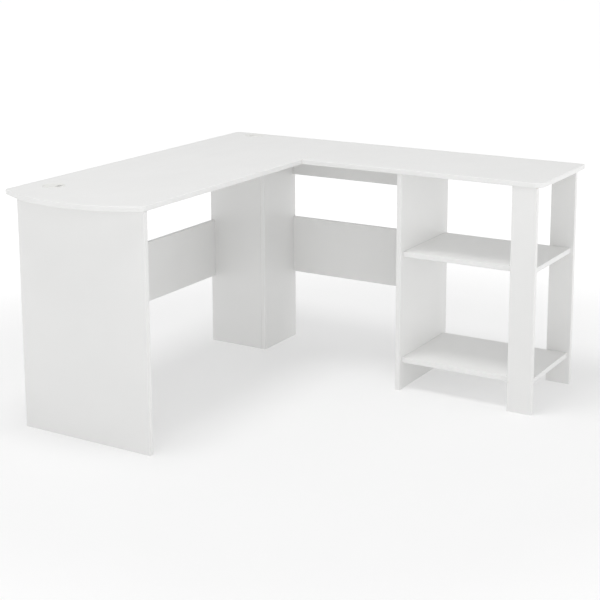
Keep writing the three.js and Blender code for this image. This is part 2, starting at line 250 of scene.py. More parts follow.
def melamine_face():
    """Melamine-faced particleboard, white, with a pressed pearl finish: a low sheen on fine pimples."""
    made, tree = new_material("melamine_faced_board_pearl_white")
    place = node(tree, "ShaderNodeTexCoord").outputs["Object"]
    # Real pearl pimples are about 0.5 mm across: drawn at 2 mm so that they show
    pimples = node(tree, "ShaderNodeTexNoise", {"Vector": place, "Scale": per(2), "Detail": 2})
    # Paper tone drifts over the width of a hand
    drift = node(tree, "ShaderNodeTexNoise", {"Vector": place, "Scale": per(160), "Detail": 2})
    # Faint wiping marks, a few centimetres long, only change the gloss
    wiping = node(tree, "ShaderNodeMapping", {
        "Vector": place, "Scale": (1, 0.35, 1), "Rotation": (0, 0, 0.6)})
    marks = node(tree, "ShaderNodeTexNoise", {
        "Vector": wiping.outputs[0], "Scale": per(35), "Detail": 5})
    gloss = node(tree, "ShaderNodeMapRange", {
        "Value": marks.outputs[0], "From Min": 0.3, "From Max": 0.7, "To Min": 0.34, "To Max": 0.44})
    tone = node(tree, "ShaderNodeMix", {
        "Factor": drift.outputs[0], MIX_A: colour("E9E9E8"), MIX_B: colour("EDEDEC")},
        data_type="RGBA")
    bump = node(tree, "ShaderNodeBump", {
        "Height": pimples.outputs[0], "Strength": 0.25, "Distance": 0.04 * MM})
    shader = node(tree, "ShaderNodeBsdfPrincipled", {
        "Base Color": tone.outputs[MIX_RESULT], "Roughness": gloss.outputs[0],
        "Normal": bump.outputs[0], "IOR": 1.5})
    node(tree, "ShaderNodeOutputMaterial", {"Surface": shader.outputs[0]})
    return made


def edge_band():
    """ABS edge band, extruded and glued on: a touch smoother and glossier than the faces beside it."""
    made, tree = new_material("abs_edge_band_extruded_white")
    place = node(tree, "ShaderNodeTexCoord").outputs["Object"]
    # Real extrusion ripple is about 0.3 mm: drawn at 1.5 mm so that it shows
    ripple = node(tree, "ShaderNodeTexNoise", {"Vector": place, "Scale": per(1.5), "Detail": 1})
    # Tone and gloss drift along the band
    drift = node(tree, "ShaderNodeTexNoise", {"Vector": place, "Scale": per(120), "Detail": 2})
    gloss = node(tree, "ShaderNodeMapRange", {
        "Value": drift.outputs[0], "From Min": 0.3, "From Max": 0.7, "To Min": 0.36, "To Max": 0.42})
    tone = node(tree, "ShaderNodeMix", {
        "Factor": drift.outputs[0], MIX_A: colour("EAEAE9"), MIX_B: colour("EFEFEE")},
        data_type="RGBA")
    bump = node(tree, "ShaderNodeBump", {
        "Height": ripple.outputs[0], "Strength": 0.12, "Distance": 0.02 * MM})
    shader = node(tree, "ShaderNodeBsdfPrincipled", {
        "Base Color": tone.outputs[MIX_RESULT], "Roughness": gloss.outputs[0],
        "Normal": bump.outputs[0], "IOR": 1.53})
    node(tree, "ShaderNodeOutputMaterial", {"Surface": shader.outputs[0]})
    return made


def sawn_core():
    """Particleboard core, sawn and bored: pale and dark wood chips in resin, dull and rough."""
    made, tree = new_material("particleboard_core_sawn")
    place = node(tree, "ShaderNodeTexCoord").outputs["Object"]
    # Core chips are about 3 mm across, with dust of under 1 mm between them
    chips = node(tree, "ShaderNodeTexVoronoi", {"Vector": place, "Scale": per(3), "Randomness": 1})
    shade = node(tree, "ShaderNodeSeparateColor", {0: chips.outputs["Color"]})
    dust = node(tree, "ShaderNodeTexNoise", {"Vector": place, "Scale": per(0.8), "Detail": 3})
    chip = node(tree, "ShaderNodeMix", {
        "Factor": shade.outputs[0], MIX_A: colour("A98A62"), MIX_B: colour("D8BF95")},
        data_type="RGBA")
    grain = node(tree, "ShaderNodeMapRange", {
        "Value": dust.outputs[0], "From Min": 0.35, "From Max": 0.75, "To Min": 0, "To Max": 0.5})
    tone = node(tree, "ShaderNodeMix", {
        "Factor": grain.outputs[0], MIX_A: chip.outputs[MIX_RESULT], MIX_B: colour("7D6140")},
        data_type="RGBA")
    bump = node(tree, "ShaderNodeBump", {
        "Height": chips.outputs["Distance"], "Strength": 0.6, "Distance": 0.2 * MM})
    shader = node(tree, "ShaderNodeBsdfPrincipled", {
        "Base Color": tone.outputs[MIX_RESULT], "Roughness": 0.85,
        "Normal": bump.outputs[0], "IOR": 1.45})
    node(tree, "ShaderNodeOutputMaterial", {"Surface": shader.outputs[0]})
    return made


def moulded_abs():
    """ABS, injection moulded in a spark-eroded tool: an even satin white with a very fine grain."""
    made, tree = new_material("abs_moulded_spark_eroded_white")
    place = node(tree, "ShaderNodeTexCoord").outputs["Object"]
    # Spark-eroded grain is about 0.1 mm: drawn at 0.8 mm so that it shows
    grain = node(tree, "ShaderNodeTexNoise", {"Vector": place, "Scale": per(0.8), "Detail": 3})
    # Tone and gloss follow the flow of the melt, a few centimetres at a time
    flow = node(tree, "ShaderNodeTexNoise", {"Vector": place, "Scale": per(25), "Detail": 2})
    tone = node(tree, "ShaderNodeMix", {
        "Factor": flow.outputs[0], MIX_A: colour("E4E4E1"), MIX_B: colour("EBEBE8")},
        data_type="RGBA")
    gloss = node(tree, "ShaderNodeMapRange", {
        "Value": flow.outputs[0], "From Min": 0.3, "From Max": 0.7, "To Min": 0.36, "To Max": 0.44})
    bump = node(tree, "ShaderNodeBump", {
        "Height": grain.outputs[0], "Strength": 0.3, "Distance": 0.03 * MM})
    shader = node(tree, "ShaderNodeBsdfPrincipled", {
        "Base Color": tone.outputs[MIX_RESULT], "Roughness": gloss.outputs[0],
        "Normal": bump.outputs[0], "IOR": 1.53})
    node(tree, "ShaderNodeOutputMaterial", {"Surface": shader.outputs[0]})
    return made


def die_cast_zinc():
    """Zinc alloy, die cast and tumbled: grey metal with cloudy patches and softened grain."""
    made, tree = new_material("zinc_alloy_die_cast")
    place = node(tree, "ShaderNodeTexCoord").outputs["Object"]
    # Flow clouds a few millimetres across, and tumbling grain of about 0.5 mm
    clouds = node(tree, "ShaderNodeTexNoise", {"Vector": place, "Scale": per(5), "Detail": 3})
    grain = node(tree, "ShaderNodeTexNoise", {"Vector": place, "Scale": per(0.5), "Detail": 2})
    tone = node(tree, "ShaderNodeMix", {
        "Factor": clouds.outputs[0], MIX_A: colour("A2A4A6"), MIX_B: colour("C2C4C5")},
        data_type="RGBA")
    gloss = node(tree, "ShaderNodeMapRange", {
        "Value": clouds.outputs[0], "From Min": 0.3, "From Max": 0.7, "To Min": 0.34, "To Max": 0.5})
    bump = node(tree, "ShaderNodeBump", {
        "Height": grain.outputs[0], "Strength": 0.3, "Distance": 0.05 * MM})
    shader = node(tree, "ShaderNodeBsdfPrincipled", {
        "Base Color": tone.outputs[MIX_RESULT], "Metallic": 1, "Roughness": gloss.outputs[0],
        "Normal": bump.outputs[0]})
    node(tree, "ShaderNodeOutputMaterial", {"Surface": shader.outputs[0]})
    return made


def plated_steel():
    """Steel, cold headed and bright zinc plated: bluish bright metal with a faint yellow passivation."""
    made, tree = new_material("steel_bright_zinc_plated")
    place = node(tree, "ShaderNodeTexCoord").outputs["Object"]
    # Passivation tints drift over a few millimetres, and handling scuffs are about 1 mm
    tint = node(tree, "ShaderNodeTexNoise", {"Vector": place, "Scale": per(6), "Detail": 2})
    scuffs = node(tree, "ShaderNodeTexNoise", {"Vector": place, "Scale": per(1), "Detail": 4})
    tone = node(tree, "ShaderNodeMix", {
        "Factor": tint.outputs[0], MIX_A: colour("C6CBD1"), MIX_B: colour("D3D1C4")},
        data_type="RGBA")
    gloss = node(tree, "ShaderNodeMapRange", {
        "Value": scuffs.outputs[0], "From Min": 0.3, "From Max": 0.7, "To Min": 0.2, "To Max": 0.38})
    bump = node(tree, "ShaderNodeBump", {
        "Height": scuffs.outputs[0], "Strength": 0.15, "Distance": 0.02 * MM})
    shader = node(tree, "ShaderNodeBsdfPrincipled", {
        "Base Color": tone.outputs[MIX_RESULT], "Metallic": 1, "Roughness": gloss.outputs[0],
        "Normal": bump.outputs[0]})
    node(tree, "ShaderNodeOutputMaterial", {"Surface": shader.outputs[0]})
    return made


def studio_floor():
    """Opal acrylic sheet, matt side up and lit from below: a plain pale floor that keeps shadows soft.

    The lamps below it are turned up away from the middle, where the softboxes fall off.
    """
    made, tree = new_material("acrylic_sheet_matt_opal")
    place = node(tree, "ShaderNodeTexCoord").outputs["Object"]
    # Barely uneven tone, in patches as wide as one lamp below the sheet
    patches = node(tree, "ShaderNodeTexNoise", {"Vector": place, "Scale": per(300), "Detail": 2})
    tone = node(tree, "ShaderNodeMix", {
        "Factor": patches.outputs[0], MIX_A: colour("CBCBCB"), MIX_B: colour("CDCDCD")},
        data_type="RGBA")
    # The lamps brighten between 1 m and 2.6 m from the middle
    away = node(tree, "ShaderNodeVectorMath", {0: place}, operation="LENGTH")
    lamps = node(tree, "ShaderNodeMapRange", {
        "Value": away.outputs["Value"], "From Min": 1, "From Max": 2.6, "To Min": 0.34, "To Max": 0.62},
        interpolation_type="SMOOTHSTEP")
    shader = node(tree, "ShaderNodeBsdfPrincipled", {
        "Base Color": tone.outputs[MIX_RESULT], "Roughness": 0.9, "Specular IOR Level": 0.2,
        "Emission Color": (1, 1, 1, 1), "Emission Strength": lamps.outputs[0]})
    node(tree, "ShaderNodeOutputMaterial", {"Surface": shader.outputs[0]})
    return made


FACE = melamine_face()
BAND = edge_band()
CORE = sawn_core()
PLASTIC = moulded_abs()
ZINC = die_cast_zinc()
STEEL = plated_steel()


# Modelling helpers

# Points closer than this are one: at the poles of turned shapes, and where outline steps meet
POLE_MERGE = 0.001 * MM
OUTLINE_MERGE = 0.01 * MM

# Faces that meet at less than this are shaded as one
SMOOTH_ANGLE = math.radians(35)


def alone(piece):
    """Selects one piece and nothing else, and makes it active."""
    bpy.ops.object.select_all(action="DESELECT")
    piece.select_set(True)
    bpy.context.view_layer.objects.active = piece


def settle(piece):
    """Moves a piece's place, turn and size into its mesh."""
    alone(piece)
    bpy.ops.object.transform_apply(location=True, rotation=True, scale=True)


@contextmanager
def editing(piece):
    """Edit mode on one piece."""
    alone(piece)
    bpy.ops.object.mode_set(mode="EDIT")
    yield
    bpy.ops.object.mode_set(mode="OBJECT")


def pick(piece, kind, test):
    """In edit mode, selects the verts, edges or faces that pass the test, and nothing else."""
    bpy.ops.mesh.select_mode(type={"verts": "VERT", "edges": "EDGE", "faces": "FACE"}[kind])
    bpy.ops.mesh.select_all(action="DESELECT")
    mesh = bmesh.from_edit_mesh(piece.data)
    for element in getattr(mesh, kind):
        if test(element):
            element.select_set(True)
    bmesh.update_edit_mesh(piece.data)


def apply_modifier(piece, kind, **settings):
    """Adds a modifier with its settings and applies it."""
    alone(piece)
    modifier = piece.modifiers.new(kind.lower(), kind)
    for name, value in settings.items():
        setattr(modifier, name, value)
    bpy.ops.object.modifier_apply(modifier=modifier.name)


def start_block(name, low, high):
    """A block between two corners."""
    bpy.ops.object.select_all(action="DESELECT")
    bpy.ops.mesh.primitive_cube_add(size=1, location=(low + high) / 2, scale=high - low)
    block = bpy.context.object
    block.name = name
    settle(block)
    return block


def start_disc(name, radius, low, high, sides, centre=Vector((0, 0, 0))):
    """An upright disc between two heights."""
    bpy.ops.object.select_all(action="DESELECT")
    middle = Vector((centre.x, centre.y, (low + high) / 2))
    bpy.ops.mesh.primitive_cylinder_add(
        vertices=sides, radius=radius, depth=high - low, location=middle)
    disc = bpy.context.object
    disc.name = name
    settle(disc)
    return disc


def draw_line(name, start, steps):
    """A line drawn in edit mode: its end is extruded to a point, or spun by an angle about a centre."""
    bpy.ops.object.select_all(action="DESELECT")
    bpy.ops.mesh.primitive_plane_add(size=1 * MM, location=start)
    line = bpy.context.object
    line.name = name
    settle(line)
    with editing(line):
        bpy.ops.mesh.select_mode(type="VERT")
        bpy.ops.mesh.select_all(action="SELECT")
        bpy.ops.mesh.merge(type="CENTER")
        end = Vector(start)
        for goal, angle, count in steps:
            if angle is None:
                bpy.ops.mesh.extrude_vertices_move(TRANSFORM_OT_translate={"value": goal - end})
                end = Vector(goal)
            else:
                # With no window the spin operator turns the other way
                bpy.ops.mesh.spin(steps=count, angle=-angle, center=goal, axis=Z)
                end = goal + Matrix.Rotation(angle, 3, "Z") @ (end - goal)
    return line


def to(*place):
    """Step of a line that runs straight to a point."""
    return Vector(place), None, None


def around(centre, angle, count):
    """Step of a line that runs round a centre."""
    return Vector(centre), angle, count


def turn(name, profile, steps):
    """A shape turned about Z from (radius, height) points, listed upwards along the outside."""
    points = [Vector((radius, 0, height)) for radius, height in profile]
    shape = draw_line(name, points[0], [to(*point) for point in points[1:]])
    with editing(shape):
        bpy.ops.mesh.select_all(action="SELECT")
        bpy.ops.mesh.spin(steps=steps, angle=2 * math.pi, center=(0, 0, 0), axis=Z)
        bpy.ops.mesh.select_all(action="SELECT")
        bpy.ops.mesh.remove_doubles(threshold=POLE_MERGE)
        bpy.ops.mesh.normals_make_consistent(inside=False)
    return shape


def is_upright(edge):
    """Whether an edge climbs by more than rounding would."""
    return abs(edge.verts[0].co.z - edge.verts[1].co.z) > 1 * MM


def soften(piece, width, share, segments):
    """Bevels each edge by its share of a width."""
    mesh = bmesh.new()
    mesh.from_mesh(piece.data)
    layer = mesh.edges.layers.float.new("bevel_weight_edge")
    for edge in mesh.edges:
        edge[layer] = share(edge)
    mesh.to_mesh(piece.data)
    mesh.free()
    apply_modifier(piece, "BEVEL", width=width, segments=segments, limit_method="WEIGHT")


def soften_corners(piece, width, segments, angle=30):
    """Bevels every edge sharper than an angle in degrees."""
    apply_modifier(piece, "BEVEL", width=width, segments=segments, limit_method="ANGLE",
        angle_limit=math.radians(angle))


def cut(piece, cutter):
    """Cuts a piece with a cutter, which is used up."""
    apply_modifier(piece, "BOOLEAN", operation="DIFFERENCE", solver="EXACT", object=cutter,
        material_mode="TRANSFER")
    bpy.data.objects.remove(cutter)


def bore(piece, radius, start, direction, depth, sides=32):
    """Bores a round hole from a point along a direction, which bares the board's core."""
    bpy.ops.object.select_all(action="DESELECT")
    bpy.ops.mesh.primitive_cylinder_add(vertices=sides, radius=radius, depth=depth,
        location=start + direction * depth / 2, rotation=direction.to_track_quat("Z", "Y").to_euler())
    cutter = bpy.context.object
    cutter.data.materials.append(CORE)
    cut(piece, cutter)


def finish_piece(piece, cad_node, material, body="desk_frame"):
    """Gives a piece its material where it has none, its smooth shading and its place in the frame."""
    if material:
        piece.data.materials.clear()
        piece.data.materials.append(material)
    alone(piece)
    bpy.ops.object.shade_smooth_by_angle(angle=SMOOTH_ANGLE)
    apply_modifier(piece, "WEIGHTED_NORMAL", keep_sharp=True, weight=100)
    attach(piece, body)
    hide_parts(cad_node)


def place_copy(master, name, origin, x_axis, z_axis):
    """A copy of a master with its own mesh, its origin at a point and its X and Z along two directions."""
    copy = master.copy()
    copy.data = master.data.copy()
    copy.name = name
    bpy.context.collection.objects.link(copy)
    turned = Matrix((x_axis, z_axis.cross(x_axis), z_axis)).transposed().to_4x4()
    copy.matrix_world = Matrix.Translation(origin) @ turned
    settle(copy)
    return copy


# Boards

# How far a normal or a place lies along the thickness: less is edge on, more is face on
EDGE_ON = 0.1
FACE_ON = 0.999


def board_side(direction, thin):
    """Name of the narrow side that a direction points to most."""
    narrow = max((axis for axis in range(3) if axis != thin), key=lambda axis: abs(direction[axis]))
    return ("+" if direction[narrow] > 0 else "-") + "xyz"[narrow]


def make_board(name, banded):
    """A board with rounded edge bands on some narrow sides and sharp sawn ends on the others."""
    low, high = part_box(name)
    centre = (low + high) / 2
    size = high - low
    thin = min(range(3), key=lambda axis: size[axis])
    board = start_block(f"{name}_board", low, high)

    def share(edge):
        middle = (edge.verts[0].co + edge.verts[1].co) / 2 - centre
        out = Vector(middle[axis] / size[axis] for axis in range(3))
        through = abs(out[thin]) < EDGE_ON
        return 1 if not through and board_side(out, thin) in banded else SAWN_EDGE_SHARE

    soften(board, BAND_EDGE_RADIUS, share, segments=4)
    for material in (FACE, BAND, CORE):
        board.data.materials.append(material)
    for face in board.data.polygons:
        tilt = abs(face.normal[thin])
        if tilt < FACE_ON and board_side(face.normal, thin) in banded:
            face.material_index = BAND_SLOT
        elif tilt < EDGE_ON:
            face.material_index = CORE_SLOT
    return board


def main_top_outline():
    """Outline of the deep top, with its bowed end, from the wall corner round to the seam."""
    low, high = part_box("main_top")
    middle = (low.x + high.x) / 2
    half = (high.x - low.x) / 2
    bow_radius = (half**2 + BOW_RISE**2) / (2 * BOW_RISE)
    bow_centre = Vector((middle, low.y + bow_radius, low.z))
    steps = []
    ends = []
    for sign, radius in ((-1, BACK_SHOULDER_RADIUS), (1, FRONT_SHOULDER_RADIUS)):
        x = half - radius
        y = bow_centre.y - math.sqrt((bow_radius - radius) ** 2 - x**2)
        lean = math.atan2(x, bow_centre.y - y)
        ends.append((Vector((middle + sign * x, y, low.z)), lean))
    (back, back_lean), (front, front_lean) = ends
    quarter = math.pi / 2
    steps.append(to(low.x, back.y, low.z))
    steps.append(around(back, quarter - back_lean, 6))
    steps.append(around(bow_centre, back_lean + front_lean, 72))
    steps.append(around(front, quarter - front_lean, 10))
    steps.append(to(high.x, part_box("return_top")[0].y, low.z))
    steps.append(to(high.x, high.y, low.z))
    steps.append(to(low.x + BACK_CORNER_RADIUS, high.y, low.z))
    corner = Vector((low.x + BACK_CORNER_RADIUS, high.y - BACK_CORNER_RADIUS, low.z))
    steps.append(around(corner, quarter, 8))
    return Vector((low.x, high.y - BACK_CORNER_RADIUS, low.z)), steps


def return_top_outline():
    """Outline of the shallow top, from the seam round its front and back corners."""
    low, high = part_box("return_top")
    quarter = math.pi / 2
    front = Vector((high.x - RETURN_CORNER_RADIUS, low.y + RETURN_CORNER_RADIUS, low.z))
    back = Vector((high.x - BACK_CORNER_RADIUS, high.y - BACK_CORNER_RADIUS, low.z))
    return low, [
        to(front.x, low.y, low.z),
        around(front, quarter, 16),
        to(high.x, back.y, low.z),
        around(back, quarter, 8),
        to(low.x, high.y, low.z),
        to(*low),
    ]


def make_top(name, outline, seam_x):
    """A top raised from its outline, with a rounded band all round but for the sawn seam."""
    low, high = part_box(name)
    seam_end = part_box("return_top")[0].y

    def on_seam(point):
        return abs(point.x - seam_x) < SEAM_REACH and point.y > seam_end - SEAM_REACH

    start, steps = outline
    top = draw_line(f"{name}_board", start, steps)
    with editing(top):
        bpy.ops.mesh.select_all(action="SELECT")
        bpy.ops.mesh.remove_doubles(threshold=OUTLINE_MERGE)
        bpy.ops.mesh.select_all(action="SELECT")
        bpy.ops.mesh.edge_face_add()
        bpy.ops.mesh.extrude_region_move(TRANSFORM_OT_translate={"value": (0, 0, high.z - low.z)})
        bpy.ops.mesh.select_all(action="SELECT")
        bpy.ops.mesh.normals_make_consistent(inside=False)

    def share(edge):
        first, last = (vert.co for vert in edge.verts)
        if is_upright(edge):
            return 0
        return SEAM_EDGE_SHARE if on_seam(first) and on_seam(last) else 1

    soften(top, TOP_EDGE_RADIUS, share, segments=5)
    for material in (FACE, BAND, CORE):
        top.data.materials.append(material)
    for face in top.data.polygons:
        if abs(face.normal.z) < FACE_ON:
            face.material_index = CORE_SLOT if on_seam(face.center) else BAND_SLOT
    return top


boards = {name: make_board(name, banded) for name, banded in BANDED_SIDES.items()}
boards["main_top"] = make_top("main_top", main_top_outline(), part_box("main_top")[1].x)
boards["return_top"] = make_top("return_top", return_top_outline(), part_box("return_top")[0].x)


# Cam fittings

# Shares of its pitch at which a thread's ridge reaches its crest, leaves it, and is back at the root
CREST_START, CREST_END, ROOT_START = 0.4, 0.55, 0.95


def ridges(low, high, pitch, root, crest):
    """Profile points of a thread from one height up to another, in whole ridges of about one pitch."""
    count = round((high - low) / pitch)
    step = (high - low) / count
    points = [(root, low)]
    for index in range(count):
        base = low + index * step
        points += [
            (crest, base + step * CREST_START),
            (crest, base + step * CREST_END),
            (root, base + step * ROOT_START),
        ]
    return points


def make_cam_bolt():
    """Cam bolt with the joint at Z = 0: a screwed end below, and a flange, shaft and round head above."""
    thread = ridges(-BOLT_THREAD_LENGTH + 0.6 * MM, -0.5 * MM, BOLT_THREAD_PITCH,
        BOLT_THREAD_ROOT, BOLT_THREAD_RADIUS)
    flange_side = BOLT_FLANGE_RADIUS - BOLT_FLANGE_CHAMFER
    neck = CAM_DISTANCE - BOLT_HEAD_LENGTH / 2
    return turn("cam_bolt", [
        (0, -BOLT_THREAD_LENGTH),
        (BOLT_TIP_RADIUS, -BOLT_THREAD_LENGTH),
        *thread,
        (BOLT_THREAD_ROOT, 0),
        (flange_side, 0),
        (BOLT_FLANGE_RADIUS, BOLT_FLANGE_CHAMFER),
        (BOLT_FLANGE_RADIUS, BOLT_FLANGE_HEIGHT - BOLT_FLANGE_CHAMFER),
        (flange_side, BOLT_FLANGE_HEIGHT),
        (BOLT_SHAFT_RADIUS, BOLT_FLANGE_HEIGHT),
        (BOLT_SHAFT_RADIUS, neck - 2 * MM),
        (BOLT_NECK_RADIUS, neck - 1 * MM),
        (BOLT_NECK_RADIUS, neck),
        (BOLT_HEAD_RADIUS - 0.5 * MM, neck + 0.5 * MM),
        (BOLT_HEAD_RADIUS, neck + 1.3 * MM),
        (BOLT_HEAD_RADIUS, neck + 2.6 * MM),
        (BOLT_HEAD_RADIUS - 0.6 * MM, neck + 3.4 * MM),
        (BOLT_HEAD_RADIUS / 2, neck + 3.9 * MM),
        (0, neck + BOLT_HEAD_LENGTH),
    ], steps=24)


def make_cam():
    """Cam with its top at Z = 0 and its slot towards +X: a dished face with a cross and an arrow."""
    low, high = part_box("end_modesty_cam")
    height = min(high - low)
    cam = start_disc("cam", CAM_RADIUS, -height, 0, sides=48)
    with editing(cam):
        pick(cam, "faces", lambda face: face.normal.z > FACE_ON)
        bpy.ops.mesh.inset(thickness=CAM_RIM_WIDTH)
        bpy.ops.mesh.extrude_region_move(TRANSFORM_OT_translate={"value": (0, 0, -CAM_DISH_DEPTH)})
    soften_corners(cam, CAM_EDGE_RADIUS, segments=2)
    slot_half = BOLT_HEAD_RADIUS + CAM_SLOT_CLEARANCE
    slot = start_block("cam_slot",
        Vector((-CAM_SLOT_BACK, -slot_half, -CAM_BOLT_DEPTH - slot_half)),
        Vector((CAM_RADIUS + CUT_MARGIN, slot_half, -CAM_BOLT_DEPTH + slot_half)))
    cut(cam, slot)
    for x, y in ((CAM_CROSS_REACH, CAM_CROSS_HALF_WIDTH), (CAM_CROSS_HALF_WIDTH, CAM_CROSS_REACH)):
        arm = start_block("cam_cross", Vector((-x, -y, -CAM_CROSS_DEPTH)), Vector((x, y, CUT_MARGIN)))
        cut(cam, arm)
    bpy.ops.object.select_all(action="DESELECT")
    bpy.ops.mesh.primitive_cylinder_add(vertices=3, radius=CAM_ARROW_RADIUS, depth=CAM_ARROW_THICKNESS,
        location=CAM_ARROW_PLACE, rotation=(0, 0, -math.pi / 2))
    arrow = bpy.context.object
    settle(arrow)
    soften_corners(arrow, CAM_ARROW_EDGE, segments=1)
    alone(cam)
    arrow.select_set(True)
    bpy.ops.object.join()
    return cam


def fit_cam(name, cam_board, bolt_board, cam_master, bolt_master):
    """Bores both boards for a cam fitting and puts its bolt and cam in them.

    The bolt's box gives the joint and the way into the cam's board, and the cam's box gives its open face.
    """
    bolt_low, bolt_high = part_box(f"{name}_bolt")
    cam_low, cam_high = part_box(f"{name}_cam")
    bolt_size = bolt_high - bolt_low
    along = max(range(3), key=lambda axis: bolt_size[axis])
    across = [axis for axis in range(3) if axis != along]
    offset = (cam_low + cam_high - bolt_low - bolt_high) / 2
    into = AXES[along] * math.copysign(1, offset[along])
    open_axis = max(across, key=lambda axis: abs(offset[axis]))
    opening = AXES[open_axis] * math.copysign(1, offset[open_axis])
    joint = (bolt_low + bolt_high) / 2
    thread_end = bolt_low if into[along] > 0 else bolt_high
    joint[along] = thread_end[along] + into[along] * BOLT_THREAD_LENGTH
    cam_top = joint + into * CAM_DISTANCE
    cam_top[open_axis] = cam_high[open_axis] if opening[open_axis] > 0 else cam_low[open_axis]
    cam_height = cam_high[open_axis] - cam_low[open_axis]

    bore(boards[bolt_board], BOLT_THREAD_RADIUS + BORE_CLEARANCE, joint + into * CUT_MARGIN, -into,
        CUT_MARGIN + BOLT_THREAD_LENGTH + BORE_CLEARANCE)
    bore(boards[cam_board], BOLT_FLANGE_RADIUS + BORE_CLEARANCE, joint - into * CUT_MARGIN, into,
        CUT_MARGIN + CAM_DISTANCE)
    bore(boards[cam_board], CAM_RADIUS + BORE_CLEARANCE, cam_top + opening * CUT_MARGIN, -opening,
        CUT_MARGIN + cam_height, sides=48)

    bolt = place_copy(bolt_master, f"{name}_cam_bolt", joint, opening, into)
    finish_piece(bolt, f"{name}_bolt", STEEL)
    cam = place_copy(cam_master, f"{name}_cam_disc", cam_top, -into, opening)
    finish_piece(cam, f"{name}_cam", ZINC)


bolt_master = make_cam_bolt()
cam_master = make_cam()
for name, (cam_board, bolt_board) in CAM_FITTINGS.items():
    fit_cam(name, cam_board, bolt_board, cam_master, bolt_master)
bpy.data.objects.remove(bolt_master)
bpy.data.objects.remove(cam_master)


# Connecting screws


def make_connecting_screw():
    """Connecting screw with its head's face at Z = 0 and its tip above: a socket head, a coarse thread."""
    low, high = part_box("main_modesty_screw")
    length = max(high - low)
    screw = turn("connecting_screw", [
        (0, 0),
        (SCREW_HEAD_RADIUS - 0.3 * MM, 0),
        (SCREW_HEAD_RADIUS, 0.3 * MM),
        (SCREW_HEAD_RADIUS, SCREW_HEAD_HEIGHT - 0.4 * MM),
        (SCREW_HEAD_RADIUS - 0.4 * MM, SCREW_HEAD_HEIGHT),
        (SCREW_SHANK_RADIUS, SCREW_HEAD_HEIGHT),
        (SCREW_SHANK_RADIUS, SCREW_SHANK_END),
        *ridges(SCREW_THREAD_START, length - 4 * MM, SCREW_THREAD_PITCH,
            SCREW_THREAD_ROOT, SCREW_SHANK_RADIUS),
        (SCREW_TIP_RADIUS, length - 1.2 * MM),
        (0, length),
    ], steps=24)
    bpy.ops.object.select_all(action="DESELECT")
    bpy.ops.mesh.primitive_cylinder_add(
        vertices=6, radius=SOCKET_RADIUS, depth=2 * SOCKET_DEPTH, location=(0, 0, 0))
    cut(screw, bpy.context.object)
    return screw


def fit_screw(name, outer, inner, into, master):
    """Bores both boards for a connecting screw and puts it in them, head flush with the outer board."""
    low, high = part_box(name)
    along = max(range(3), key=lambda axis: abs(into[axis]))
    length = high[along] - low[along]
    head = (low + high) / 2
    head[along] = low[along] if into[along] > 0 else high[along]
    start = head - into * CUT_MARGIN
    bore(boards[outer], SCREW_HEAD_RADIUS + BORE_CLEARANCE, start, into, CUT_MARGIN + SCREW_HEAD_HEIGHT)
    bore(boards[outer], SCREW_SHANK_RADIUS + BORE_CLEARANCE, start, into, length / 2)
    bore(boards[inner], SCREW_SHANK_RADIUS + BORE_CLEARANCE, head + into * SCREW_INNER_BORE_START, into,
        length - SCREW_INNER_BORE_START + BORE_CLEARANCE)
    across = AXES[(along + 1) % 3]
    screw = place_copy(master, f"{name}_steel", head, across, into)
    finish_piece(screw, name, STEEL)


screw_master = make_connecting_screw()
for name, (outer, inner, into) in CONNECTING_SCREWS.items():
    fit_screw(name, outer, inner, into, screw_master)
bpy.data.objects.remove(screw_master)


# Joining plate under the seam of the tops


def make_wood_screw():
    """Wood screw with the underside of its head at Z = 0: a low round head below, with a cross recess."""
    low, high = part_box("plate_main_screw_1")
    length = high.z - low.z - WOOD_SCREW_HEAD_HEIGHT
    screw = turn("wood_screw", [
        (0, -WOOD_SCREW_HEAD_HEIGHT),
        (WOOD_SCREW_HEAD_RADIUS * 0.45, -WOOD_SCREW_HEAD_HEIGHT + 0.05 * MM),
        (WOOD_SCREW_HEAD_RADIUS * 0.7, -WOOD_SCREW_HEAD_HEIGHT + 0.3 * MM),
        (WOOD_SCREW_HEAD_RADIUS * 0.93, -0.7 * MM),
        (WOOD_SCREW_HEAD_RADIUS, -0.2 * MM),
        (WOOD_SCREW_HEAD_RADIUS * 0.97, 0),
        (WOOD_SCREW_RADIUS, 0),
        *ridges(1.2 * MM, length - 2.5 * MM, WOOD_SCREW_PITCH, WOOD_SCREW_ROOT, WOOD_SCREW_RADIUS),
        (0.5 * MM, length - 0.6 * MM),
        (0, length),
    ], steps=20)
    reach, half_width = WOOD_SCREW_CROSS_REACH, WOOD_SCREW_CROSS_HALF_WIDTH
    for x, y in ((reach, half_width), (half_width, reach)):
        arm = start_block("recess_arm",
            Vector((-x, -y, -WOOD_SCREW_CROSS_BOTTOM)), Vector((x, y, -WOOD_SCREW_CROSS_TOP)))
        with editing(arm):
            pick(arm, "faces", lambda face: face.normal.z > FACE_ON)
            bpy.ops.transform.resize(value=(WOOD_SCREW_CROSS_TAPER, WOOD_SCREW_CROSS_TAPER, 1))
        cut(screw, arm)
    return screw


